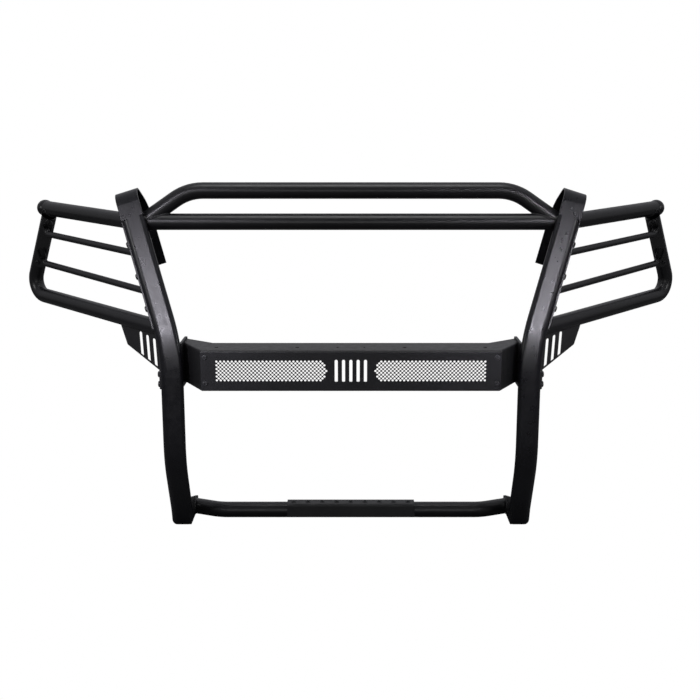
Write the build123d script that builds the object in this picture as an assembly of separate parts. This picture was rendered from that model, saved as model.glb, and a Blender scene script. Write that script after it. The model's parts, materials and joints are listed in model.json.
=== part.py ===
from build123d import *
import math
import os

# Front grille guard for a truck. Millimetres, +Z up, +X to the object's left-hand side as it is seen
# from behind the wheel, the front faces -Y. The guard is drawn with y = 0 on the front of its
# crossbar and is moved at the end, so that the origin is the bottom centre of the whole guard.

# ---- stock ----
TUBE_OD = 44.45
TUBE_WALL = 3.0
BAR_OD = 19.05
BAR_WALL = 2.1
PLATE = 4.8
SHEET = 3.0

# ---- uprights ----
UPRIGHT_X = 474.0
UPRIGHT_WIDTH = 61.0
INNER_FLANGE = 14.0
OUTER_FLANGE = 48.0
INNER_CORNER = 11.0
OUTER_CORNER = 20.0
UPRIGHT_FACE = 35.0
FOOT_FACE = 128.0
KNEE_HEIGHT = 40.0
KNEE_FACE = 116.0
SHIN_HEIGHT = 205.0
BEND_HEIGHT = 527.0
LEAN_OUT = 0.3285
LEAN_BACK = 0.344
SHIN_RADIUS = 250.0
BEND_RADIUS = 360.0
HOOK_START_HEIGHT = 858.0
HOOK_BACK = 148.0
HOOK_RISE = (100.0, 60.0, -108.0)
HOOK_RADII = (45.0, 75.0)
FLANGE_TAPER = 95.0
FOOT_CORNER = 14.0

# ---- foot plates ----
FOOT_PLATE = 6.35
FOOT_REAR = 268.0
FOOT_TOP = 80.0
FOOT_REAR_TOP = 36.0
FRAME_HOLE_R = 6.5
FRAME_HOLE_Y = 186.0
FRAME_HOLE_Z = (18.0, 47.0)

# ---- top tubes ----
CROSS_TUBE_Y = 188.0
CROSS_TUBE_Z = 843.5
HOOP_Y = 204.0
HOOP_Z = 926.0
HOOP_CORNER_X = 441.0
HOOP_FOOT_X = 560.0
HOOP_RADIUS = 130.0

# ---- crossbar ----
BAR_TOP = 527.3
BAR_BOTTOM = 417.6
BAR_DEPTH = 100.0
BAR_FOLD_X = 393.0
BAR_REAR_FOLD_X = 370.0
BAR_SWEEP = (57.0, 100.0)
BAR_REAR_SWEEP = (87.0, 66.0)
BAR_EDGE = 6.0
FACE_HALF = 391.0
FACE_Z = (421.5, 522.0)
SCREW_X = 380.0
SCREW_R = 4.2
SCREW_Z = (440.0, 509.0)
WINDOW_INNER = 54.0
WINDOW_OUTER = 352.0
MESH_Z = 473.0
MESH_HALF = 25.5
MESH_PITCH = 10.0
MESH_HOLE_R = 3.0
WINDOW_TAPER = 18.0
SLOT_COUNT = 5
SLOT_PITCH = 19.0
SLOT_WIDTH = 8.0
SLOT_HEIGHT = 60.0
LIGHT_HOLES = ((353.0, 5.5), (141.0, 5.5), (35.0, 3.5))
LIGHT_HOLE_Y = 42.0
END_BOLT_R = 5.2
END_BOLT_Y = 128.0
END_BOLT_GAP = 56.0
BRACKET_REAR = 168.0
BRACKET_NOTCH = 443.0

# ---- step ----
STEP_Y = 185.0
STEP_Z = 23.0
STEP_CORNER_X = 372.0
STEP_END_Y = 217.0
STEP_RADIUS = 110.0
PAD_SHEET = 2.5
PAD_HALF = 181.0
PAD_DIMPLES = 9
PAD_PITCH = 40.7

# ---- wings ----
WING_ORIGIN = (615.0, 285.0)
WING_SWEEP = 41.7
WING_TOP_Z = 836.5
WING_TOP_RISE = 0.0376
WING_TOP_END = 427.0
WING_CAP_R = 25.0
WING_LOW_START = (-260.0, 539.5)
WING_CORNER = (530.0, 582.5)
WING_POST_TOP = (410.0, 829.0)
WING_RADIUS = 47.0
BAR_START_S = -150.0
BAR_STANDOFF = 20.0
BAR_BEND = 15.0
BAR_START_Z = (745.7, 644.7)
BAR_CORNER = ((-11.0, -42.5), (-26.0, -141.0))
BAR_TIP = ((-7.5, -15.8), (-5.0, -101.0))
TROUGH_HALF = 11.6
TROUGH_FLARE = 5.0
STRAP = 4.0
STRAP_WIDTH = 34.0
STRAP_X = -6.5
STRAP_Y = (-0.5, -166.0)
STRAP_BOLT_R = 4.2
STRAP_BOLTS = ((-6.0, -7.7), (-2.5, -151.5))
MOUNT_BOLT_R = 5.2
MOUNT_BOLT_Y = 31.0
MOUNT_BOLT_Z = (-242.0, -151.0, -60.0)
STAY_Z = (408.0, 464.0)
STAY_REAR = 205.0
STAY_BOLT_Y = 67.0
STAY_BOLT_Z = (422.0, 449.0)
GUSSET = 3.0
GUSSET_TIP = (38.8, 480.0)
GUSSET_TOP = (65.0, 532.0)
GUSSET_SLOPE = 0.377
GUSSET_RIM = 2.5
GUSSET_SLOTS = 3
GUSSET_SLOT_S = -24.0
GUSSET_SLOT_PITCH = 30.2
GUSSET_SLOT_WIDTH = 15.0
GUSSET_SLOT_LEAN = 0.07
GUSSET_SLOT_TOP = (530.8, 0.2)


def biggest(shape):
    return max(shape.solids(), key=lambda solid: solid.volume)


def formed(section, points, radii, start=None, side=None):
    """Carry a flat section along straight runs joined by bends, as a bender forms stock.

    Returns the solid and the plane at its far end.
    """
    spots = [Vector(p) for p in points]
    runs = [b - a for a, b in zip(spots, spots[1:])]
    heads = [run.normalized() for run in runs]
    turns = [a.get_angle(b) for a, b in zip(heads, heads[1:])]
    trims = [0.0] + [r * math.tan(math.radians(t / 2)) for r, t in zip(radii, turns)] + [0.0]
    place = start or Plane(origin=spots[0], x_dir=side, z_dir=heads[0])
    pieces = []
    for i, head in enumerate(heads):
        length = runs[i].length - trims[i] - trims[i + 1]
        if length > 0.01:
            pieces.append(extrude(place * section, amount=length, dir=head))
            place = Plane(origin=place.origin + head * length, x_dir=place.x_dir, z_dir=head)
        if i < len(turns):
            toward = (heads[i + 1] - head * head.dot(heads[i + 1])).normalized()
            axis = Axis(place.origin + toward * radii[i], head.cross(toward))
            pieces.append(revolve(place * section, axis=axis, revolution_arc=turns[i]))
            centre = place.origin + toward * radii[i]
            arm = (place.origin - centre).rotate(axis, turns[i])
            x_dir = place.x_dir.rotate(axis, turns[i])
            place = Plane(origin=centre + arm, x_dir=x_dir, z_dir=heads[i + 1])
    whole = pieces[0]
    for piece in pieces[1:]:
        whole = whole + piece
    return whole, place


def ring(od, wall):
    return Circle(od / 2) - Circle(od / 2 - wall)


def channel(thickness):
    """The upright's section: its web on local y = 0, a short inner and a deep outer flange."""
    half = UPRIGHT_WIDTH / 2
    outer = make_face(Polyline(
        (-half, INNER_FLANGE),
        (-half, 0),
        (half, 0),
        (half, OUTER_FLANGE),
        (half - thickness, OUTER_FLANGE),
        (half - thickness, thickness),
        (-half + thickness, thickness),
        (-half + thickness, INNER_FLANGE),
        (-half, INNER_FLANGE),
    ))
    for level, inset in ((0, 0), (thickness, thickness)):
        for side, corner in ((-1, INNER_CORNER), (1, OUTER_CORNER)):
            spot = Vector(side * (half - inset), level)
            outer = fillet([v for v in outer.vertices() if (Vector(*v) - spot).length < 0.01], corner - inset)
    return outer


def drum(radius, length, at, along):
    """A cylinder that starts at a point and runs a length along a direction."""
    return Plane(origin=Vector(at), z_dir=Vector(along)) * extrude(Circle(radius), amount=length)


def button_bolt(shank_r, reach, head_r, head_h, at, into):
    """A button-head bolt: its head stands outside the point, its shank runs into the work."""
    place = Plane(origin=Vector(at), z_dir=Vector(into))
    head = extrude(Circle(head_r), amount=-head_h)
    head = fillet(head.edges().sort_by(Axis.Z)[:1], head_h * 0.7)
    socket = Pos(0, 0, -head_h) * extrude(RegularPolygon(head_r * 0.42, 6), amount=head_h * 0.55)
    shank = extrude(Circle(shank_r), amount=reach)
    return place * (head + shank - socket)


def hex_nut(hole_r, across, height, at, along):
    place = Plane(origin=Vector(at), z_dir=Vector(along))
    body = extrude(RegularPolygon(across / 2, 6, major_radius=False), amount=height)
    return place * (body - extrude(Circle(hole_r), amount=height))


# ---- uprights ----

def upright_route():
    lean = Vector(LEAN_OUT, LEAN_BACK, 1.0)
    top = HOOK_START_HEIGHT - BEND_HEIGHT
    return [
        (UPRIGHT_X, FOOT_FACE, 0.0),
        (UPRIGHT_X, KNEE_FACE, KNEE_HEIGHT),
        (UPRIGHT_X, UPRIGHT_FACE, SHIN_HEIGHT),
        (UPRIGHT_X, UPRIGHT_FACE, BEND_HEIGHT),
        (UPRIGHT_X + lean.X * top, UPRIGHT_FACE + lean.Y * top, HOOK_START_HEIGHT),
    ]


UPRIGHT_RADII = (120.0, SHIN_RADIUS, BEND_RADIUS)


def upright_body(section):
    """The upright's flanged length, from the floor to where the hook starts."""
    points = upright_route()
    first = Vector(points[1]) - Vector(points[0])
    start = Vector(points[0]) - first.normalized() * 40
    return formed(section, [start] + points[1:], UPRIGHT_RADII, side=Vector(1, 0, 0))


def upright_envelope():
    """The upright's outline filled in, used to cut what lies against it."""
    filled = Pos(0, OUTER_FLANGE / 2) * Rectangle(UPRIGHT_WIDTH, OUTER_FLANGE)
    return upright_body(filled)[0]


def upper_place():
    """The plane at the top of the upright's flanged length: x outward, y back, z along it."""
    return upright_body(Circle(1))[1]


def beyond(place, start, way):
    """A block on one side of a plane that stands along the upright's upper length."""
    long = 700.0
    block = Box(long, 2 * long, 2 * long, align=(Align.MIN, Align.CENTER, Align.CENTER))
    if way < 0:
        block = block.mirror(Plane.YZ)
    return place * Pos(start, 0, 0) * block


def upright():
    body, place = upright_body(channel(PLATE))
    reach = OUTER_FLANGE + 2
    wedge = Polyline((PLATE, 1), (PLATE, 0), (reach, -FLANGE_TAPER), (reach, 1), (PLATE, 1))
    side = Plane(origin=place.origin, x_dir=place.y_dir, z_dir=place.x_dir)
    body = body - side * extrude(make_face(wedge), amount=UPRIGHT_WIDTH, both=True)
    turn = [place.origin]
    for back, rise in zip((0.0, HOOK_BACK, HOOK_BACK), HOOK_RISE):
        turn.append(place.origin + place.y_dir * back + place.z_dir * rise)
    strip = Pos(0, PLATE / 2) * Rectangle(UPRIGHT_WIDTH, PLATE)
    hook, _ = formed(strip, turn, HOOK_RADII, start=place)
    whole = body + hook
    whole = whole - Pos(UPRIGHT_X, 0, -100) * Box(400, 800, 200)
    for way in (1, -1):
        edge = UPRIGHT_X + way * UPRIGHT_WIDTH / 2
        corner = Pos(edge, 0, 0) * Box(2 * FOOT_CORNER, 800, 2 * FOOT_CORNER)
        middle = (edge - way * FOOT_CORNER, -400, FOOT_CORNER)
        whole = whole - (corner - drum(FOOT_CORNER, 800, middle, (0, 1, 0)))
    return biggest(whole)


def inner_plane():
    """The plane on which plates lie against the inner flange, from inside the upright."""
    return UPRIGHT_X - UPRIGHT_WIDTH / 2 + PLATE


def foot_plate(post):
    """The plate at the upright's foot, with the two holes for the truck's bracket."""
    lap = 1
    outline = Polyline(
        (FOOT_FACE + lap, 0),
        (FOOT_REAR, 0),
        (FOOT_REAR, FOOT_REAR_TOP),
        (FOOT_FACE + lap, FOOT_TOP),
        (KNEE_FACE - 15, FOOT_TOP),
        (KNEE_FACE + lap, KNEE_HEIGHT),
        (FOOT_FACE + lap, 0),
    )
    face = make_face(outline)
    rear = face.vertices().sort_by(Axis.X)[-2:]
    face = fillet(rear.sort_by(Axis.Y)[:1], 22)
    face = fillet(face.vertices().sort_by(Axis.X)[-1:], 8)
    for z in FRAME_HOLE_Z:
        face = face - Pos(FRAME_HOLE_Y, z) * Circle(FRAME_HOLE_R)
    place = Plane(origin=(inner_plane(), 0, 0), x_dir=(0, 1, 0), z_dir=(1, 0, 0))
    return trimmed(place * extrude(face, amount=FOOT_PLATE), post)


# ---- top tubes ----

def trimmed(tube, *cutters):
    for cutter in cutters:
        tube = tube - cutter
    return biggest(tube)


def both_sides(shape):
    return [shape, shape.mirror(Plane.YZ)]


def cross_tube(place):
    half = HOOP_FOOT_X + 60
    ends = [(-half, CROSS_TUBE_Y, CROSS_TUBE_Z), (half, CROSS_TUBE_Y, CROSS_TUBE_Z)]
    tube, _ = formed(ring(TUBE_OD, TUBE_WALL), ends, (), side=Vector(0, 1, 0))
    return trimmed(tube, *both_sides(beyond(place, UPRIGHT_WIDTH / 2, 1)))


def hoop_tube(place):
    slope = (HOOP_Z - CROSS_TUBE_Z) / (HOOP_FOOT_X - HOOP_CORNER_X)
    extra = 30
    foot = (HOOP_FOOT_X + extra, CROSS_TUBE_Y, CROSS_TUBE_Z - slope * extra)
    corner = (HOOP_CORNER_X, HOOP_Y, HOOP_Z)
    points = [(-foot[0], *foot[1:]), (-corner[0], *corner[1:]), corner, foot]
    run = Vector(points[1]) - Vector(points[0])
    side = run.cross(Vector(0, 0, 1)).normalized()
    tube, _ = formed(ring(TUBE_OD, TUBE_WALL), points, (HOOP_RADIUS, HOOP_RADIUS), side=side)
    solid_tube = drum(TUBE_OD / 2, 1400, (-700, CROSS_TUBE_Y, CROSS_TUBE_Z), (1, 0, 0))
    return trimmed(tube, solid_tube, *both_sides(beyond(place, UPRIGHT_WIDTH / 2, 1)))


# ---- crossbar ----

def bar_plan(inset, rear):
    """Half of the crossbar in plan, its front moved in by a distance from the outermost sheet."""
    end = inner_plane()
    front_slope = BAR_SWEEP[1] / BAR_SWEEP[0]
    rear_slope = BAR_REAR_SWEEP[1] / BAR_REAR_SWEEP[0]
    fold = BAR_FOLD_X - inset * (math.hypot(*BAR_SWEEP) - BAR_SWEEP[0]) / BAR_SWEEP[1]
    return [
        (0, inset),
        (fold, inset),
        (end, inset + (end - fold) * front_slope),
        (end, rear + (end - BAR_REAR_FOLD_X) * rear_slope),
        (BAR_REAR_FOLD_X, rear),
        (0, rear),
    ]


def bar_solid(inset, edge, rear):
    plan = bar_plan(SHEET + inset, rear)
    face = make_face(Polyline(*plan, plan[0]))
    high = BAR_TOP - BAR_BOTTOM - 2 * inset
    half = Pos(0, 0, BAR_BOTTOM + inset) * extrude(face, amount=high)
    solid = half + half.mirror(Plane.YZ)
    level = [e for e in solid.edges() if abs(e.position_at(0).Z - e.position_at(1).Z) < 0.01]
    front = [e for e in level if min(e.position_at(0).Y, e.position_at(1).Y) < SHEET + inset + 0.1]
    return fillet(front, edge)


def crossbar_shell():
    """The folded sheet: a top, a bottom and swept ends, open at the back and behind the face."""
    outer = bar_solid(0, BAR_EDGE, BAR_DEPTH)
    inner = bar_solid(SHEET, BAR_EDGE - SHEET, BAR_DEPTH + 30)
    shell = outer - inner
    opening_high = SCREW_Z[1] - SCREW_Z[0] + 5
    opening = Pos(0, 0, sum(SCREW_Z) / 2) * Box(2 * (WINDOW_OUTER + 8), 30, opening_high)
    shell = shell - opening
    for way in (1, -1):
        for x, radius in LIGHT_HOLES:
            shell = shell - drum(radius, 20, (way * x, LIGHT_HOLE_Y, BAR_TOP - 10), (0, 0, 1))
        for z in SCREW_Z:
            shell = shell - drum(SCREW_R, 20, (way * SCREW_X, -5, z), (0, 1, 0))
    return biggest(shell)


def mesh_holes():
    """Centres of the staggered holes in one window, which narrows to a point inward."""
    step = MESH_PITCH / 2
    rows = int(MESH_HALF // step)
    centres = []
    for row in range(-rows, rows + 1):
        z = row * step
        offset = 0 if row % 2 else step
        inner = WINDOW_INNER + WINDOW_TAPER * abs(z) / MESH_HALF
        x = WINDOW_OUTER - MESH_HOLE_R - offset
        while x - MESH_HOLE_R > inner:
            centres.append((x, MESH_Z + z))
            x -= MESH_PITCH
    return centres


def crossbar_face():
    """The punched face plate, with two mesh windows and a plain row of upright slots between."""
    face = Pos(0, sum(FACE_Z) / 2) * Rectangle(2 * FACE_HALF, FACE_Z[1] - FACE_Z[0])
    cuts = []
    for x, z in mesh_holes():
        cuts += [Pos(way * x, z) * Circle(MESH_HOLE_R) for way in (1, -1)]
    for i in range(SLOT_COUNT):
        x = (i - (SLOT_COUNT - 1) / 2) * SLOT_PITCH
        cuts.append(Pos(x, MESH_Z) * Rot(0, 0, 90) * SlotOverall(SLOT_HEIGHT, SLOT_WIDTH))
    for way in (1, -1):
        cuts += [Pos(way * SCREW_X, z) * Circle(SCREW_R) for z in SCREW_Z]
    wires = [cut.faces()[0].outer_wire() for cut in cuts]
    sheet = Face(face.faces()[0].outer_wire(), wires)
    place = Plane(origin=(0, 0, 0), x_dir=(1, 0, 0), z_dir=(0, -1, 0))
    return extrude(place * Sketch([sheet]), amount=-SHEET, dir=(0, -1, 0))


def face_screws():
    return [
        button_bolt(SCREW_R - 0.2, 22, 7.0, 4.4, (way * SCREW_X, 0, z), (0, 1, 0))
        for way in (1, -1)
        for z in SCREW_Z
    ]


def face_nuts():
    return [
        hex_nut(SCREW_R - 0.2, 13.0, 6.5, (way * SCREW_X, 2 * SHEET, z), (0, 1, 0))
        for way in (1, -1)
        for z in SCREW_Z
    ]


def end_bolt_spots():
    """Where the two bolts through an end plate and its bracket stand, as y and z."""
    middle = (BAR_TOP + BAR_BOTTOM) / 2
    return [(END_BOLT_Y, middle + way * END_BOLT_GAP / 2) for way in (1, -1)]


def end_plate():
    """The plate that closes the crossbar's end, welded inside its folded sheet."""
    body = bar_solid(SHEET, BAR_EDGE - SHEET, BAR_DEPTH)
    slab = Pos(inner_plane() - PLATE / 2, 0, BAR_TOP - BAR_TOP / 2) * Box(PLATE, 600, 600)
    plate = body & slab
    for y, z in end_bolt_spots():
        plate = plate - drum(END_BOLT_R, 40, (inner_plane() - 20, y, z), (1, 0, 0))
    return biggest(plate)


def crossbar_bracket():
    """The plate that the crossbar's end is bolted to, notched clear of the upright's bend."""
    low = BAR_BOTTOM - 6
    high = BAR_TOP + 6
    front = UPRIGHT_FACE + INNER_CORNER
    outline = Polyline(
        (front, low),
        (BRACKET_REAR, low),
        (BRACKET_REAR, high),
        (front + 16, high),
        (front + 16, BRACKET_NOTCH + 10),
        (front, BRACKET_NOTCH),
        (front, low),
    )
    face = make_face(outline)
    face = fillet(face.vertices().sort_by(Axis.X)[-2:], 8)
    place = Plane(origin=(inner_plane(), 0, 0), x_dir=(0, 1, 0), z_dir=(1, 0, 0))
    plate = place * extrude(face, amount=FOOT_PLATE)
    for y, z in end_bolt_spots():
        plate = plate - drum(END_BOLT_R, 40, (inner_plane() - 20, y, z), (1, 0, 0))
    return plate


def end_bolts():
    inner = inner_plane() - PLATE
    return [button_bolt(END_BOLT_R - 0.2, 24, 8.5, 5.0, (inner, y, z), (1, 0, 0)) for y, z in end_bolt_spots()]


def end_nuts():
    outer = inner_plane() + FOOT_PLATE
    return [hex_nut(END_BOLT_R - 0.2, 16.0, 8.0, (outer, y, z), (1, 0, 0)) for y, z in end_bolt_spots()]


# ---- step ----

def step_tube():
    inner = inner_plane()
    slope = (STEP_END_Y - STEP_Y) / (inner - STEP_CORNER_X)
    end = (inner + 30, STEP_END_Y + 30 * slope, STEP_Z)
    corner = (STEP_CORNER_X, STEP_Y, STEP_Z)
    points = [(-end[0], *end[1:]), (-corner[0], *corner[1:]), corner, end]
    tube, _ = formed(ring(TUBE_OD, TUBE_WALL), points, (STEP_RADIUS, STEP_RADIUS), side=Vector(0, 0, 1))
    for way in (1, -1):
        tube = tube - Pos(way * (inner + 100), 0, 0) * Box(200, 1200, 400)
    return biggest(tube)


def step_pad():
    """A folded tread that lies on the tube's top and front, with a row of raised rimmed holes."""
    radius = TUBE_OD / 2
    top = STEP_Z + radius
    front = STEP_Y - radius
    out = PAD_SHEET
    rear = STEP_Y + 14
    profile = Polyline(
        (rear, top),
        (rear, top + out),
        (front - out, top + out),
        (front - out, STEP_Z - 14),
        (front, STEP_Z - 14),
        (front, top),
        (rear, top),
    )
    face = make_face(profile)
    outer = [v for v in face.vertices() if abs(v.X - (front - out)) < 0.1 and abs(v.Y - top - out) < 0.1]
    face = fillet(outer, 7)
    inner = [v for v in face.vertices() if abs(v.X - front) < 0.1 and abs(v.Y - top) < 0.1]
    face = fillet(inner, 7 - out)
    place = Plane(origin=(-PAD_HALF, 0, 0), x_dir=(0, 1, 0), z_dir=(1, 0, 0))
    pad = extrude(place * face, amount=2 * PAD_HALF, dir=(1, 0, 0))
    middle = (front + rear) / 2
    for i in range(PAD_DIMPLES):
        x = (i - (PAD_DIMPLES - 1) / 2) * PAD_PITCH
        rim = Pos(x, middle, top + out - 0.5) * Cone(8.5, 6.0, 2.6, align=(Align.CENTER, Align.CENTER, Align.MIN))
        hole = Pos(x, middle, top) * Cylinder(4.5, 20, align=(Align.CENTER, Align.CENTER, Align.MIN))
        pad = pad + rim - hole
    return biggest(pad)


# ---- wings ----

def wing_plane():
    """The swept plane of the right-hand wing: x runs outward and back, y runs up, z faces forward."""
    sweep = math.radians(WING_SWEEP)
    along = Vector(math.cos(sweep), math.sin(sweep), 0)
    return Plane(origin=(WING_ORIGIN[0], WING_ORIGIN[1], 0), x_dir=along, z_dir=along.cross(Vector(0, 0, 1)))


def on_wing(s, z, forward=0.0):
    return wing_plane().from_local_coords(Vector(s, z, forward))


def mount_face():
    """How far outward of the upright's middle the outer face of the mount plate stands."""
    return UPRIGHT_WIDTH / 2 + PLATE


def upper_wing_axis():
    return [on_wing(s, WING_TOP_Z + s * WING_TOP_RISE) for s in (-120.0, WING_TOP_END)]


def lower_wing_axis():
    return [on_wing(*spot) for spot in (WING_LOW_START, WING_CORNER, WING_POST_TOP)]


def rod_between(radius, first, last):
    along = Vector(last) - Vector(first)
    return drum(radius, along.length, first, along)


def upper_wing_solid(inset):
    """The upper wing tube's outline, with the ball that closes its outer end."""
    first, last = upper_wing_axis()
    return rod_between(TUBE_OD / 2 - inset, first, last) + Pos(*last) * Sphere(WING_CAP_R - inset)


def upper_wing_tube(place):
    tube = upper_wing_solid(0) - upper_wing_solid(TUBE_WALL)
    return trimmed(tube, beyond(place, mount_face(), -1))


def lower_wing_tube(place):
    """The lower wing tube, bent up at its outer end into the post that meets the upper tube."""
    tube, _ = formed(ring(TUBE_OD, TUBE_WALL), lower_wing_axis(), (WING_RADIUS,), side=wing_plane().z_dir)
    return trimmed(tube, upper_wing_solid(0), beyond(place, mount_face(), -1), *strap_holes())


def post_plane():
    """The plane through the post's axis: x across it, y up along it, z to the front."""
    up = (on_wing(*WING_POST_TOP) - on_wing(*WING_CORNER)).normalized()
    front = Vector(0, -1, 0)
    front = (front - up * front.dot(up)).normalized()
    return Plane(origin=on_wing(*WING_POST_TOP), x_dir=up.cross(front), z_dir=front)


def strap_bolt_places():
    """Where the strap's two bolts stand on its front, and the way they go in."""
    plane = post_plane()
    front = TUBE_OD / 2 + STRAP
    return [(plane.from_local_coords(Vector(x, y, front)), -plane.z_dir) for x, y in STRAP_BOLTS]


def strap_holes():
    return [drum(STRAP_BOLT_R, 20, head - into * 2, into) for head, into in strap_bolt_places()]


def strap():
    """The flat strap on the front of the post, that the thin bars end on."""
    top, bottom = STRAP_Y
    outline = Rectangle(STRAP_WIDTH, top - bottom)
    outline = fillet(outline.vertices(), STRAP_WIDTH * 0.42)
    flat = Pos(STRAP_X, (top + bottom) / 2, TUBE_OD / 2) * extrude(outline, amount=STRAP)
    return trimmed(post_plane() * flat, *strap_holes())


def strap_bolts():
    return [button_bolt(STRAP_BOLT_R - 0.2, 12, 6.5, 4.0, head, into) for head, into in strap_bolt_places()]


def bar_line(i):
    """A thin bar's inner end, the corner of its bend and the tip of its trough."""
    plane = post_plane()
    level = TUBE_OD / 2 + STRAP + BAR_OD / 2 - 0.2
    start = on_wing(BAR_START_S, BAR_START_Z[i], BAR_STANDOFF)
    corner = plane.from_local_coords(Vector(*BAR_CORNER[i], level))
    tip = plane.from_local_coords(Vector(*BAR_TIP[i], level))
    return start, corner, tip


def bar_blank(i, inset, extra):
    """A thin bar's outline: round along its run and its bend, then widened to the open trough."""
    start, corner, tip = bar_line(i)
    leg = (tip - corner).normalized()
    turn = (corner - start).get_angle(leg)
    neck = corner + leg * (BAR_BEND * math.tan(math.radians(turn / 2)) + 0.5)
    round_end = Circle(BAR_OD / 2 - inset)
    tube, _ = formed(round_end, [start, corner, neck], (BAR_BEND,), side=wing_plane().z_dir)
    across = leg.cross(post_plane().z_dir)
    near = Plane(origin=neck, x_dir=across, z_dir=leg)
    oval = near * Pos(0, 0, TROUGH_FLARE) * Ellipse(TROUGH_HALF - inset, BAR_OD / 2 - inset)
    flare = loft([near * round_end, oval])
    trough = extrude(oval, amount=(tip - neck).length - TROUGH_FLARE + extra, dir=leg)
    return tube + flare + trough, near


def wing_bar(i, place):
    """A thin tube, bent up at its outer end into a trough that lies open on the strap."""
    outer, near = bar_blank(i, 0, 0)
    inner, _ = bar_blank(i, BAR_WALL, 5)
    front_half = near * Box(60, 60, 200, align=(Align.CENTER, Align.MAX, Align.MIN))
    return trimmed(outer - inner, front_half, strap(), beyond(place, mount_face(), -1))


def crossing(place, first, last):
    """Where a member's axis meets the mount plate, as distances back and up in the plate."""
    a = place.to_local_coords(Vector(first))
    b = place.to_local_coords(Vector(last))
    part = (mount_face() - a.X) / (b.X - a.X)
    return a.Y + (b.Y - a.Y) * part, a.Z + (b.Z - a.Z) * part


def mount_holes(place, radius):
    barrel = Rot(0, 90, 0) * Cylinder(radius, 80)
    return [place * Pos(UPRIGHT_WIDTH / 2 - 20, MOUNT_BOLT_Y, z) * barrel for z in MOUNT_BOLT_Z]


def mount_plate(place, envelope):
    """The plate bolted to the upright's outer flange that carries the wing's four members."""
    high = crossing(place, *upper_wing_axis())
    low = crossing(place, *lower_wing_axis()[:2])
    front = OUTER_CORNER + 2
    outline = Polyline(
        (front, low[1] - 26),
        (low[0] + 34, low[1] - 34),
        (high[0] + 30, high[1] + 10),
        (high[0] + 10, high[1] + 30),
        (front + 30, high[1] + 30),
        (front, high[1] - 10),
        (front, low[1] - 26),
    )
    side = Plane(origin=place.origin + place.x_dir * UPRIGHT_WIDTH / 2, x_dir=place.y_dir, z_dir=place.x_dir)
    face = make_face(outline)
    face = fillet(face.vertices(), 8)
    plate = side * extrude(face, amount=PLATE)
    return trimmed(plate, envelope, *mount_holes(place, MOUNT_BOLT_R))


def mount_bolts(place):
    bolts = []
    for z in MOUNT_BOLT_Z:
        spot = place.from_local_coords(Vector(mount_face(), MOUNT_BOLT_Y, z))
        bolts.append(button_bolt(MOUNT_BOLT_R - 0.2, 22, 8.5, 5.0, spot, (-place.x_dir)))
    return bolts


def mount_nuts(place):
    nuts = []
    for z in MOUNT_BOLT_Z:
        spot = place.from_local_coords(Vector(UPRIGHT_WIDTH / 2 - PLATE, MOUNT_BOLT_Y, z))
        nuts.append(hex_nut(MOUNT_BOLT_R - 0.2, 16.0, 8.0, spot, (-place.x_dir)))
    return nuts


def stay_holes(radius):
    outer = UPRIGHT_X + UPRIGHT_WIDTH / 2
    return [drum(radius, 60, (outer - 30, STAY_BOLT_Y, z), (1, 0, 0)) for z in STAY_BOLT_Z]


def gusset_stay(envelope):
    """The upright plate on the outer flange that holds the inner edge of the slotted gusset."""
    outer = UPRIGHT_X + UPRIGHT_WIDTH / 2
    front = UPRIGHT_FACE + OUTER_CORNER + 2
    low, high = STAY_Z
    outline = Polyline((front, low), (STAY_REAR, low), (STAY_REAR, high), (front, high), (front, low))
    face = fillet(make_face(outline).vertices(), 8)
    place = Plane(origin=(outer, 0, 0), x_dir=(0, 1, 0), z_dir=(1, 0, 0))
    return trimmed(place * extrude(face, amount=PLATE), envelope, *stay_holes(MOUNT_BOLT_R))


def stay_bolts():
    outer = UPRIGHT_X + UPRIGHT_WIDTH / 2 + PLATE
    return [button_bolt(MOUNT_BOLT_R - 0.2, 22, 8.5, 5.0, (outer, STAY_BOLT_Y, z), (-1, 0, 0)) for z in STAY_BOLT_Z]


def stay_nuts():
    inner = UPRIGHT_X + UPRIGHT_WIDTH / 2 - PLATE
    return [hex_nut(MOUNT_BOLT_R - 0.2, 16.0, 8.0, (inner, STAY_BOLT_Y, z), (-1, 0, 0)) for z in STAY_BOLT_Z]


def gusset_edge(s):
    """The height of the gusset's sloping lower edge at a distance along the wing."""
    return GUSSET_TIP[1] + (s - GUSSET_TIP[0]) * GUSSET_SLOPE


def gusset_slot(s):
    """A slot that leans with the plate, square at its lower end and rounded at its upper one."""
    half = GUSSET_SLOT_WIDTH / 2
    top = GUSSET_SLOT_TOP[0] + s * GUSSET_SLOT_TOP[1]
    corners = []
    for way, high in ((-1, False), (1, False), (1, True), (-1, True)):
        spot = s + way * half
        z = top if high else gusset_edge(spot) + GUSSET_RIM
        corners.append((spot + (z - top) * GUSSET_SLOT_LEAN, z))
    slot = make_face(Polyline(*corners, corners[0]))
    return fillet(slot.vertices().sort_by(Axis.Y)[-2:], GUSSET_SLOT_WIDTH * 0.4)


def gusset(place):
    """The slotted plate in the wing's plane, below the lower tube."""
    outer = UPRIGHT_X + UPRIGHT_WIDTH / 2 + PLATE
    inner = (outer - WING_ORIGIN[0]) / math.cos(math.radians(WING_SWEEP)) - 20
    outline = Polyline(
        (inner, gusset_edge(inner)),
        GUSSET_TIP,
        GUSSET_TOP,
        (GUSSET_TOP[0], WING_CORNER[1]),
        (inner, WING_CORNER[1]),
        (inner, gusset_edge(inner)),
    )
    face = make_face(outline)
    for i in range(GUSSET_SLOTS):
        face = face - gusset_slot(GUSSET_SLOT_S - i * GUSSET_SLOT_PITCH)
    plate = wing_plane() * extrude(face, amount=GUSSET / 2, both=True)
    tube = rod_between(TUBE_OD / 2, *lower_wing_axis()[:2])
    inside = Pos(outer - 200, 0, 0) * Box(400, 2000, 3000)
    return trimmed(plate, tube, inside, beyond(place, mount_face(), -1))


# ---- the whole guard ----

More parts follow.
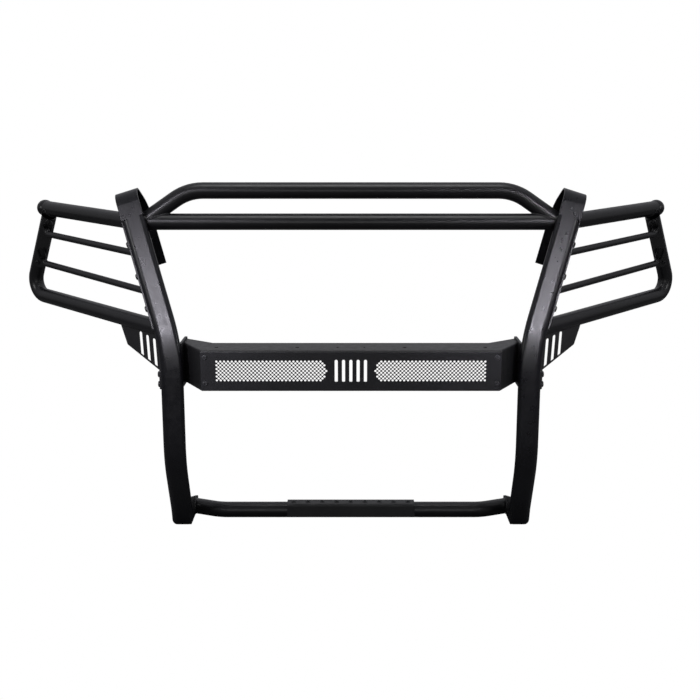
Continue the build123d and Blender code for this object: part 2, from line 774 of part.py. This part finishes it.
def build_side():
    """Every node of the side at +X, by the name it has without its side."""
    place = upper_place()
    envelope = upright_envelope()
    post = upright()
    post = trimmed(post, *mount_holes(place, MOUNT_BOLT_R), *stay_holes(MOUNT_BOLT_R))
    return {
        "upright": post,
        "foot_plate": foot_plate(post),
        "crossbar_end_plate": end_plate(),
        "crossbar_bracket": crossbar_bracket(),
        "crossbar_end_bolts": end_bolts(),
        "crossbar_end_nuts": end_nuts(),
        "wing_mount_plate": mount_plate(place, envelope),
        "wing_mount_bolts": mount_bolts(place) + stay_bolts(),
        "wing_mount_nuts": mount_nuts(place) + stay_nuts(),
        "wing_upper_tube": upper_wing_tube(place),
        "wing_lower_tube": lower_wing_tube(place),
        "wing_strap": strap(),
        "wing_upper_bar": wing_bar(0, place),
        "wing_lower_bar": wing_bar(1, place),
        "wing_strap_bolts": strap_bolts(),
        "wing_gusset": gusset(place),
        "wing_gusset_stay": gusset_stay(envelope),
    }


def build_middle():
    """The nodes that cross the guard's middle."""
    place = upper_place()
    return {
        "hoop_tube": hoop_tube(place),
        "cross_tube": cross_tube(place),
        "crossbar_shell": crossbar_shell(),
        "crossbar_face_plate": crossbar_face(),
        "crossbar_face_screws": face_screws(),
        "crossbar_face_nuts": face_nuts(),
        "step_tube": step_tube(),
        "step_pad": step_pad(),
    }


def as_list(shape):
    return shape if isinstance(shape, list) else [shape]


def main():
    nodes = {name: as_list(shape) for name, shape in build_middle().items()}
    for name, shape in build_side().items():
        nodes["left_" + name] = as_list(shape)
        nodes["right_" + name] = [piece.mirror(Plane.YZ) for piece in as_list(shape)]
    boxes = [piece.bounding_box() for pieces in nodes.values() for piece in pieces]
    front = min(box.min.Y for box in boxes)
    rear = max(box.max.Y for box in boxes)
    low = min(box.min.Z for box in boxes)
    to_origin = Pos(0, -(front + rear) / 2, -low)
    os.makedirs("parts", exist_ok=True)
    for name, pieces in nodes.items():
        solids = [to_origin * solid for piece in pieces for solid in piece.solids()]
        export_step(solids[0] if len(solids) == 1 else Compound(children=solids), f"parts/{name}.step")
    print(f"{len(nodes)} nodes, y shift {-(front + rear) / 2:.4f}, z shift {-low:.4f}")


if __name__ == "__main__":
    main()
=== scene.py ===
import json
import math

import bpy
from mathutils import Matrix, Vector


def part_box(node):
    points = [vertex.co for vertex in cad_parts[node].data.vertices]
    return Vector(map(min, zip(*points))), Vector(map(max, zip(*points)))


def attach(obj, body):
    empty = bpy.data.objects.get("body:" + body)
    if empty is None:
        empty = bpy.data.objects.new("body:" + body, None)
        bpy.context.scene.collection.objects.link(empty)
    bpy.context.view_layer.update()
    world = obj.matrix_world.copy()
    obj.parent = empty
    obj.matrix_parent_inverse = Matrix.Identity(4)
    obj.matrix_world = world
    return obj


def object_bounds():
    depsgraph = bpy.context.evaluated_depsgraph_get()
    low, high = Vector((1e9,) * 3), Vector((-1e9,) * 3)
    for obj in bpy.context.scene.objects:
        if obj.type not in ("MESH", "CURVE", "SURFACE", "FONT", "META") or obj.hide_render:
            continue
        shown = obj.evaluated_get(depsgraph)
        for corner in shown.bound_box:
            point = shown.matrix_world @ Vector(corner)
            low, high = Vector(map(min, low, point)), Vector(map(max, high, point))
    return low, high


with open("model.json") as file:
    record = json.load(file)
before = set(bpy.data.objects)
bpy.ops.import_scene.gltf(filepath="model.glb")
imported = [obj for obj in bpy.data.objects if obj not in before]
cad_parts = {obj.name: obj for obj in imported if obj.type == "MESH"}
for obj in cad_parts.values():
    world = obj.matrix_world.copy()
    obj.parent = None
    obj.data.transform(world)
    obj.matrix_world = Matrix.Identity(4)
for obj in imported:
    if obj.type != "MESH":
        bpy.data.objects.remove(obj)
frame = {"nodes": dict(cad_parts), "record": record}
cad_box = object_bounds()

# Front grille guard. Sizes are in millimetres as in the drawing, where y = 0 is the crossbar's front
# and x grows towards the guard's left-hand side; at() turns them into the frame's metres.

MM = 0.001
FRONT_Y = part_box("crossbar_face_plate")[0][1]
FLOOR_Z = cad_box[0][2]

TUBE_R = 22.225
BAR_R = 9.525
UPRIGHT_X = 474.0
UPRIGHT_HALF = 30.5
PLATE = 4.8
INNER_X = UPRIGHT_X - UPRIGHT_HALF + PLATE
LEAN = Vector((0.3285, 0.344, 1.0))
UPPER_START = Vector((UPRIGHT_X, 35.0, 527.0))
HOOK_START = UPPER_START + LEAN * 331.0
CROSS_TUBE = (Vector((0.0, 188.0, 843.5)), Vector((1.0, 0.0, 0.0)))
HOOP_CORNER = Vector((441.0, 204.0, 926.0))
HOOP_FOOT = Vector((560.0, 188.0, 843.5))
STEP_CORNER = Vector((372.0, 185.0, 23.0))
STEP_END = Vector((448.3, 217.0, 23.0))
WING_ORIGIN = Vector((615.0, 285.0, 0.0))
WING_SWEEP = math.radians(41.7)
WING_TOP = (836.5, 0.0376, 427.0)
WING_LOW_START = (-260.0, 539.5)
WING_CORNER = (530.0, 582.5)
WING_POST_TOP = (410.0, 829.0)
BAR_START = ((-150.0, 745.7), (-150.0, 644.7))
BAR_CORNER = ((-11.0, -42.5), (-26.0, -141.0))
BAR_TIP = ((-7.5, -15.8), (-5.0, -101.0))
BAR_STANDOFF = 20.0
STRAP_FRONT = TUBE_R + 4.0
WING_INNER_S = -120.0
GUSSET_HALF = 1.5
GUSSET_WELD_S = (-120.0, 60.0)
FLANGE_DEPTH = 14.0
FLANGE_INSET = 0.6
FOOT_WELD = ((128.0, 4.0), (117.0, 40.0), (98.0, 76.0))
BRACKET_WELD = ((35.0, 414.0), (35.0, 447.0))

BEAD_SIDES = 8
BEAD_PITCH = 4.6
RIPPLE_STEPS = 4
BEAD_CLEARANCE = 1.3
TUBE_BEAD = 2.6
FRAME_BEAD = 2.4
PLATE_BEAD = 2.0
THIN_BEAD = 1.9
TAB_BEAD = 1.5


def at(point):
    return Vector((point[0] * MM, point[1] * MM + FRONT_Y, point[2] * MM + FLOOR_Z))


# ---- materials ----

# Noise scales are per metre; PEEL_SCALE and SPECK_SCALE are divided by a coat's grain in millimetres.
CLOUD_SCALE = 9.0
GLOSS_SCALE = 55.0
PEEL_SCALE = 1000.0
SPECK_SCALE = 2200.0
PEEL_HEIGHT = 0.00035
EDGE_RADIUS = 0.0011


def node(tree, kind, **settings):
    made = tree.nodes.new(kind)
    for name, value in settings.items():
        if name in made.inputs:
            made.inputs[name].default_value = value
        else:
            setattr(made, name, value)
    return made


def noise(tree, coords, scale, detail=3.0, rough=0.5):
    made = node(tree, "ShaderNodeTexNoise", Scale=scale, Detail=detail, Roughness=rough)
    tree.links.new(coords, made.inputs["Vector"])
    return made.outputs["Fac"]


def spread(tree, value, low, high, start=0.3, end=0.7):
    made = node(tree, "ShaderNodeMapRange")
    made.inputs["From Min"].default_value = start
    made.inputs["From Max"].default_value = end
    made.inputs["To Min"].default_value = low
    made.inputs["To Max"].default_value = high
    tree.links.new(value, made.inputs["Value"])
    return made.outputs["Result"]


def blend(tree, value, low, high):
    made = node(tree, "ShaderNodeValToRGB")
    made.color_ramp.elements[0].color = (*low, 1.0)
    made.color_ramp.elements[1].color = (*high, 1.0)
    tree.links.new(value, made.inputs["Fac"])
    return made.outputs["Color"]


def edge_mask(tree, radius):
    """About 1 where the surface turns a corner sharper than the given radius, and the eased normal."""
    bevel = node(tree, "ShaderNodeBevel", samples=4)
    bevel.inputs["Radius"].default_value = radius
    geometry = node(tree, "ShaderNodeNewGeometry")
    dot = node(tree, "ShaderNodeVectorMath", operation="DOT_PRODUCT")
    tree.links.new(bevel.outputs["Normal"], dot.inputs[0])
    tree.links.new(geometry.outputs["Normal"], dot.inputs[1])
    return spread(tree, dot.outputs["Value"], 1.0, 0.0, 0.75, 0.99), bevel.outputs["Normal"]


def mixed(tree, factor, low, high):
    made = node(tree, "ShaderNodeMix", data_type="RGBA")
    tree.links.new(factor, made.inputs["Factor"])
    for value, socket in ((low, made.inputs["A"]), (high, made.inputs["B"])):
        if isinstance(value, tuple):
            socket.default_value = (*value, 1.0)
        else:
            tree.links.new(value, socket)
    return made.outputs["Result"]


def times(tint, factor, added=0.0):
    return tuple(channel * factor + added for channel in tint)


def coat(name, tint, roughness, grain, depth, sharp_edges):
    """Powder coat: a fine orange peel, faint cloudiness in colour and gloss, paler on sharp edges."""
    material = bpy.data.materials.new(name)
    material.use_nodes = True
    tree = material.node_tree
    shader = tree.nodes["Principled BSDF"]
    coords = node(tree, "ShaderNodeTexCoord").outputs["Object"]
    cloud = noise(tree, coords, CLOUD_SCALE, 4.0)
    peel = noise(tree, coords, PEEL_SCALE / grain, 2.0)
    speck = noise(tree, coords, SPECK_SCALE / grain, 1.0)
    colour = blend(tree, spread(tree, cloud, 0.0, 1.0), times(tint, 0.72), times(tint, 1.3))
    fleck = spread(tree, speck, 0.0, 0.5, 0.62, 0.78)
    colour = mixed(tree, fleck, colour, times(tint, 2.2))
    gloss = spread(tree, noise(tree, coords, GLOSS_SCALE, 4.0), roughness - 0.05, roughness + 0.06)
    bump = node(tree, "ShaderNodeBump", Strength=depth, Distance=PEEL_HEIGHT)
    tree.links.new(peel, bump.inputs["Height"])
    if sharp_edges:
        mask, soft = edge_mask(tree, EDGE_RADIUS)
        colour = mixed(tree, mask, colour, times(tint, 2.4, 0.004))
        tree.links.new(soft, bump.inputs["Normal"])
    tree.links.new(colour, shader.inputs["Base Color"])
    tree.links.new(gloss, shader.inputs["Roughness"])
    tree.links.new(bump.outputs["Normal"], shader.inputs["Normal"])
    return material


# Each slot's coat: its tint, roughness, grain in millimetres, depth of orange peel and edge wear.
COATS = {
    "tube_coat": ("satin_black_tube_coat", (0.0060, 0.0060, 0.0070), 0.33, 1.6, 0.25, False),
    "upright_coat": ("satin_black_upright_coat", (0.0040, 0.0040, 0.0060), 0.31, 1.1, 0.16, True),
    "plate_coat": ("satin_black_plate_coat", (0.0135, 0.0135, 0.0145), 0.42, 1.2, 0.35, True),
    "face_coat": ("satin_black_face_coat", (0.0100, 0.0098, 0.0130), 0.45, 1.0, 0.3, True),
    "pad_coat": ("matt_black_pad_coat", (0.015, 0.015, 0.016), 0.5, 0.9, 0.5, True),
    "black_fasteners": ("black_oxide_steel", (0.010, 0.010, 0.011), 0.34, 0.7, 0.2, True),
    "face_screws": ("dark_zinc_steel", (0.040, 0.040, 0.045), 0.38, 0.7, 0.2, True),
}
MATERIALS = {slot: coat(*row) for slot, row in COATS.items()}
WELD = coat("coated_weld_bead", (0.012, 0.012, 0.0135), 0.38, 1.1, 0.35, False)

for part in frame["record"]["subparts"]:
    shown = frame["nodes"][part["node"]]
    for socket in shown.material_slots:
        socket.material = MATERIALS[part["material_slot"]]


# ---- weld beads ----

def ring_frame(direction):
    side = direction.orthogonal().normalized()
    return side, direction.cross(side)


def cut_by_plane(start, direction, radius, point, normal, count=96):
    """The closed line where a round member's outside meets a plane."""
    direction = direction.normalized()
    side, up = ring_frame(direction)
    line = []
    for i in range(count):
        angle = math.tau * i / count
        spot = start + (side * math.cos(angle) + up * math.sin(angle)) * radius
        line.append(spot + direction * ((point - spot).dot(normal) / direction.dot(normal)))
    return line


def cut_by_tube(start, direction, radius, point, axis, tube_radius, count=96):
    """The closed line where a round member's outside meets a tube that it runs into."""
    direction = direction.normalized()
    axis = axis.normalized()
    side, up = ring_frame(direction)
    line = []
    for i in range(count):
        angle = math.tau * i / count
        spot = start + (side * math.cos(angle) + up * math.sin(angle)) * radius
        away = (spot - point) - axis * (spot - point).dot(axis)
        flat = direction - axis * direction.dot(axis)
        a = flat.dot(flat)
        b = 2.0 * away.dot(flat)
        c = away.dot(away) - tube_radius ** 2
        root = max(b * b - 4.0 * a * c, 0.0)
        line.append(spot + direction * ((-b - math.sqrt(root)) / (2.0 * a)))
    return line


def even(line, closed, step):
    """The line's points again, an even step apart."""
    spots = line + [line[0]] if closed else list(line)
    lengths = [0.0]
    for a, b in zip(spots, spots[1:]):
        lengths.append(lengths[-1] + (b - a).length)
    count = max(int(lengths[-1] / step), 6)
    result = []
    index = 0
    for i in range(count if closed else count + 1):
        goal = lengths[-1] * i / count
        while index < len(spots) - 2 and lengths[index + 1] < goal:
            index += 1
        part = (goal - lengths[index]) / max(lengths[index + 1] - lengths[index], 1e-9)
        result.append(spots[index].lerp(spots[index + 1], part))
    return result


def bead_faces(verts, spots, closed):
    """Quads between neighbouring rings; a closed bead's last ring is turned to meet its first."""
    around = BEAD_SIDES
    count = len(spots)
    faces = []
    for i in range(count if closed else count - 1):
        j = (i + 1) % count
        shift = 0
        if j == 0:
            first = verts[0] - at(spots[0])
            gaps = [(verts[i * around + k] - at(spots[i]) - first).length for k in range(around)]
            shift = -gaps.index(min(gaps))
        for k in range(around):
            near = i * around + (k - shift) % around
            near_next = i * around + (k + 1 - shift) % around
            faces.append((near, near_next, j * around + (k + 1) % around, j * around + k))
    if not closed:
        faces.append(tuple(range(around))[::-1])
        faces.append(tuple((count - 1) * around + k for k in range(around)))
    return faces


def bead(name, line, radius, closed):
    """A weld bead with the overlapping ripples that a welder leaves, laid along a line."""
    spots = even(line, closed, BEAD_PITCH / RIPPLE_STEPS)
    count = len(spots)
    verts = []
    for i, spot in enumerate(spots):
        ahead = spots[(i + 1) % count] if closed or i < count - 1 else spot
        behind = spots[i - 1] if closed or i > 0 else spot
        direction = (ahead - behind).normalized()
        side, up = ring_frame(direction)
        ripple = (i % RIPPLE_STEPS) / (RIPPLE_STEPS - 1.0)
        wander = 1.0 + 0.07 * math.sin(i * 0.37) + 0.05 * math.sin(i * 0.91)
        swell = radius * (0.84 + 0.24 * ripple) * wander
        if not closed:
            swell *= min(1.0, 0.45 + 0.3 * min(i, count - 1 - i))
        for k in range(BEAD_SIDES):
            angle = math.tau * k / BEAD_SIDES
            verts.append(at(spot + (side * math.cos(angle) + up * math.sin(angle)) * swell))
    mesh = bpy.data.meshes.new(name)
    mesh.from_pydata(verts, [], bead_faces(verts, spots, closed))
    mesh.update()
    for polygon in mesh.polygons:
        polygon.use_smooth = True
    made = bpy.data.objects.new(name, mesh)
    bpy.context.scene.collection.objects.link(made)
    mesh.materials.append(WELD)
    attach(made, "root")


WING_ALONG = Vector((math.cos(WING_SWEEP), math.sin(WING_SWEEP), 0.0))
WING_FORWARD = WING_ALONG.cross(Vector((0.0, 0.0, 1.0)))


def on_wing(s, z, forward=0.0):
    return WING_ORIGIN + WING_ALONG * s + Vector((0.0, 0.0, z)) + WING_FORWARD * forward


POST_TOP = on_wing(*WING_POST_TOP)
POST_UP = (POST_TOP - on_wing(*WING_CORNER)).normalized()
POST_FRONT = Vector((0.0, -1.0, 0.0))
POST_FRONT = (POST_FRONT - POST_UP * POST_FRONT.dot(POST_UP)).normalized()
POST_ACROSS = POST_UP.cross(POST_FRONT)


def on_post(x, y, front):
    return POST_TOP + POST_ACROSS * x + POST_UP * y + POST_FRONT * front


TURN = Vector((0.0, 0.0, 1.0)).rotation_difference(LEAN.normalized())
MOUNT_NORMAL = TURN @ Vector((1.0, 0.0, 0.0))
MOUNT_INNER = HOOK_START + MOUNT_NORMAL * UPRIGHT_HALF
MOUNT_OUTER = HOOK_START + MOUNT_NORMAL * (UPRIGHT_HALF + PLATE)


def frame_welds():
    """The weld lines of the hoop, cross tube and step tube, where they meet the left-hand side."""
    saddle = cut_by_tube(HOOP_CORNER, HOOP_FOOT - HOOP_CORNER, TUBE_R, *CROSS_TUBE, TUBE_R)
    cross_end = cut_by_plane(*CROSS_TUBE, TUBE_R, MOUNT_INNER, MOUNT_NORMAL)
    inner = (Vector((INNER_X, 0, 0)), Vector((1, 0, 0)))
    step_end = cut_by_plane(STEP_CORNER, STEP_END - STEP_CORNER, TUBE_R, *inner)
    return [
        ("hoop", saddle, TUBE_BEAD, True),
        ("cross_tube", cross_end, TUBE_BEAD, True),
        ("step_tube", step_end, FRAME_BEAD, True),
    ]


def wing_welds():
    """The weld lines of the two wing tubes on the mount plate, and of the post under the top tube."""
    mount = (MOUNT_OUTER, MOUNT_NORMAL)
    height, rise, end = WING_TOP
    top_start = on_wing(WING_INNER_S, height + WING_INNER_S * rise)
    top_run = on_wing(end, height + end * rise) - top_start
    low_start = on_wing(*WING_LOW_START)
    corner = on_wing(*WING_CORNER)
    post_end = cut_by_tube(corner, POST_TOP - corner, TUBE_R, top_start, top_run, TUBE_R)
    return [
        ("wing_top", cut_by_plane(top_start, top_run, TUBE_R, *mount), TUBE_BEAD, True),
        ("wing_low", cut_by_plane(low_start, corner - low_start, TUBE_R, *mount), TUBE_BEAD, True),
        ("wing_post", post_end, FRAME_BEAD, True),
    ]


def bar_welds():
    """The weld line of each thin bar on the mount plate, and the two beside its tip on the strap."""
    lines = []
    level = STRAP_FRONT + BAR_R - 0.2
    for i, name in enumerate(("bar_upper", "bar_lower")):
        start = on_wing(*BAR_START[i], BAR_STANDOFF)
        corner = on_post(*BAR_CORNER[i], level)
        tip = on_post(*BAR_TIP[i], level)
        run = cut_by_plane(start, corner - start, BAR_R, MOUNT_OUTER, MOUNT_NORMAL, 48)
        lines.append((name, run, THIN_BEAD, True))
        leg = (tip - corner).normalized()
        across = leg.cross(POST_FRONT)
        foot = tip - POST_FRONT * (BAR_R - 0.9)
        for way, side in ((1, "out"), (-1, "in")):
            ends = [foot - leg * 15.0 + across * way * 5.0, foot - leg * 2.0 + across * way * 5.4]
            lines.append((f"{name}_tab_{side}", ends, TAB_BEAD, False))
    return lines


def plate_welds():
    """The weld lines of the foot plate, the crossbar's bracket and the gusset's two faces."""
    lines = []
    for name, spots in (("foot_plate", FOOT_WELD), ("crossbar_bracket", BRACKET_WELD)):
        line = [Vector((INNER_X - FLANGE_INSET, y + FLANGE_DEPTH, z)) for y, z in spots]
        lines.append((name, line, PLATE_BEAD, False))
    edge = []
    for s in GUSSET_WELD_S:
        part = (s - WING_LOW_START[0]) / (WING_CORNER[0] - WING_LOW_START[0])
        z = WING_LOW_START[1] + (WING_CORNER[1] - WING_LOW_START[1]) * part - TUBE_R
        edge.append((s, z))
    for forward, name in ((GUSSET_HALF, "gusset_front"), (-GUSSET_HALF, "gusset_back")):
        lines.append((name, [on_wing(s, z, forward) for s, z in edge], THIN_BEAD, False))
    return lines


for name, line, radius, closed in frame_welds() + wing_welds() + bar_welds() + plate_welds():
    lowest = BEAD_CLEARANCE * radius
    for side, way in (("left", 1.0), ("right", -1.0)):
        mirrored = [Vector((spot.x * way, spot.y, max(spot.z, lowest))) for spot in line]
        bead(f"weld_{side}_{name}", mirrored, radius, closed)


# ---- studio ----

FLOOR_REACH = 14.0
FLOOR_TINT = (0.14, 0.14, 0.14)
HORIZON_TINT = (0.26, 0.26, 0.27)
OVERHEAD_TINT = (0.42, 0.42, 0.45)
SPOT_TINT = (0.93, 0.90, 1.0)


def plain_floor():
    """A floor that the camera sees as white, though it throws little light up on to the guard."""
    mesh = bpy.data.meshes.new("studio_floor")
    turns = ((-1, -1), (1, -1), (1, 1), (-1, 1))
    corners = [(x * FLOOR_REACH, y * FLOOR_REACH, FLOOR_Z) for x, y in turns]
    mesh.from_pydata(corners, [], [(0, 1, 2, 3)])
    floor = bpy.data.objects.new("studio_floor", mesh)
    bpy.context.scene.collection.objects.link(floor)
    material = bpy.data.materials.new("pale_floor")
    material.use_nodes = True
    tree = material.node_tree
    shader = tree.nodes["Principled BSDF"]
    shader.inputs["Base Color"].default_value = (*FLOOR_TINT, 1.0)
    shader.inputs["Roughness"].default_value = 0.9
    shown = node(tree, "ShaderNodeEmission", Color=(1.0, 1.0, 1.0, 1.0), Strength=1.0)
    path = node(tree, "ShaderNodeLightPath")
    mix = node(tree, "ShaderNodeMixShader")
    tree.links.new(path.outputs["Is Camera Ray"], mix.inputs["Fac"])
    tree.links.new(shader.outputs["BSDF"], mix.inputs[1])
    tree.links.new(shown.outputs["Emission"], mix.inputs[2])
    tree.links.new(mix.outputs["Shader"], tree.nodes["Material Output"].inputs["Surface"])
    mesh.materials.append(material)


def studio_world():
    """A backdrop that the camera sees as white; as light it is dim, brighter overhead and behind."""
    world = bpy.data.worlds.new("studio_world")
    bpy.context.scene.world = world
    world.use_nodes = True
    tree = world.node_tree
    tree.nodes.clear()
    coords = node(tree, "ShaderNodeTexCoord")
    split = node(tree, "ShaderNodeSeparateXYZ")
    tree.links.new(coords.outputs["Generated"], split.inputs["Vector"])
    ramp = node(tree, "ShaderNodeValToRGB")
    ramp.color_ramp.elements[0].position = 0.0
    ramp.color_ramp.elements[0].color = (*HORIZON_TINT, 1.0)
    ramp.color_ramp.elements[1].position = 0.8
    ramp.color_ramp.elements[1].color = (*OVERHEAD_TINT, 1.0)
    tree.links.new(split.outputs["Z"], ramp.inputs["Fac"])
    light = node(tree, "ShaderNodeBackground")
    tree.links.new(ramp.outputs["Color"], light.inputs["Color"])
    tree.links.new(spread(tree, split.outputs["Y"], 0.6, 1.3, -0.6, 0.8), light.inputs["Strength"])
    shown = node(tree, "ShaderNodeBackground", Color=(1.0, 1.0, 1.0, 1.0), Strength=1.0)
    path = node(tree, "ShaderNodeLightPath")
    mix = node(tree, "ShaderNodeMixShader")
    tree.links.new(path.outputs["Is Camera Ray"], mix.inputs["Fac"])
    tree.links.new(light.outputs["Background"], mix.inputs[1])
    tree.links.new(shown.outputs["Background"], mix.inputs[2])
    output = node(tree, "ShaderNodeOutputWorld")
    tree.links.new(mix.outputs["Shader"], output.inputs["Surface"])


def hang(name, data, place, target):
    lamp = bpy.data.objects.new(name, data)
    lamp.location = place
    lamp.rotation_euler = (Vector(target) - Vector(place)).to_track_quat("-Z", "Y").to_euler()
    bpy.context.scene.collection.objects.link(lamp)


def softbox(name, place, target, width, height, power):
    data = bpy.data.lights.new(name, "AREA")
    data.shape = "RECTANGLE"
    data.size = width
    data.size_y = height
    data.energy = power
    hang(name, data, place, target)


def soft_spot(name, place, target, radius, cone, power):
    """A narrow soft beam, faintly violet, for the sheen on one upright's bend."""
    data = bpy.data.lights.new(name, "SPOT")
    data.color = SPOT_TINT
    data.shadow_soft_size = radius
    data.spot_size = math.radians(cone)
    data.spot_blend = 1.0
    data.energy = power
    hang(name, data, place, target)


CAMERA_BACK = 2.625
CAMERA_HEIGHT = 1.087
CAMERA_SIDE = -0.0022
CAMERA_TILT = 12.0
CAMERA_LENS = 53.33

plain_floor()
studio_world()
softbox("softbox_over", (0.0, FRONT_Y - 0.3, 3.0), (0.0, FRONT_Y + 0.2, 0.6), 1.8, 1.0, 18.0)
for side, way in (("left", 1.0), ("right", -1.0)):
    box_place = (2.75 * way, FRONT_Y - 0.96, 1.35)
    softbox(f"softbox_{side}", box_place, (0.55 * way, FRONT_Y, 0.6), 0.65, 0.38, 7.0)
    spot_place = (1.8 * way, FRONT_Y - 3.3, 1.85)
    soft_spot(f"spot_{side}", spot_place, (0.51 * way, FRONT_Y + 0.05, 0.64), 0.30, 9.0, 620.0)
softbox("softbox_front", (0.0, FRONT_Y - 3.6, 0.9), (0.0, FRONT_Y, 0.5), 2.4, 0.8, 10.0)

camera_data = bpy.data.cameras.new("camera")
camera_data.lens = CAMERA_LENS
camera_data.sensor_width = 36.0
camera = bpy.data.objects.new("camera", camera_data)
camera.location = (CAMERA_SIDE, FRONT_Y - CAMERA_BACK, FLOOR_Z + CAMERA_HEIGHT)
camera.rotation_euler = (math.radians(90.0 - CAMERA_TILT), 0.0, 0.0)
bpy.context.scene.collection.objects.link(camera)
bpy.context.scene.camera = camera
bpy.context.scene.view_settings.view_transform = "Standard"
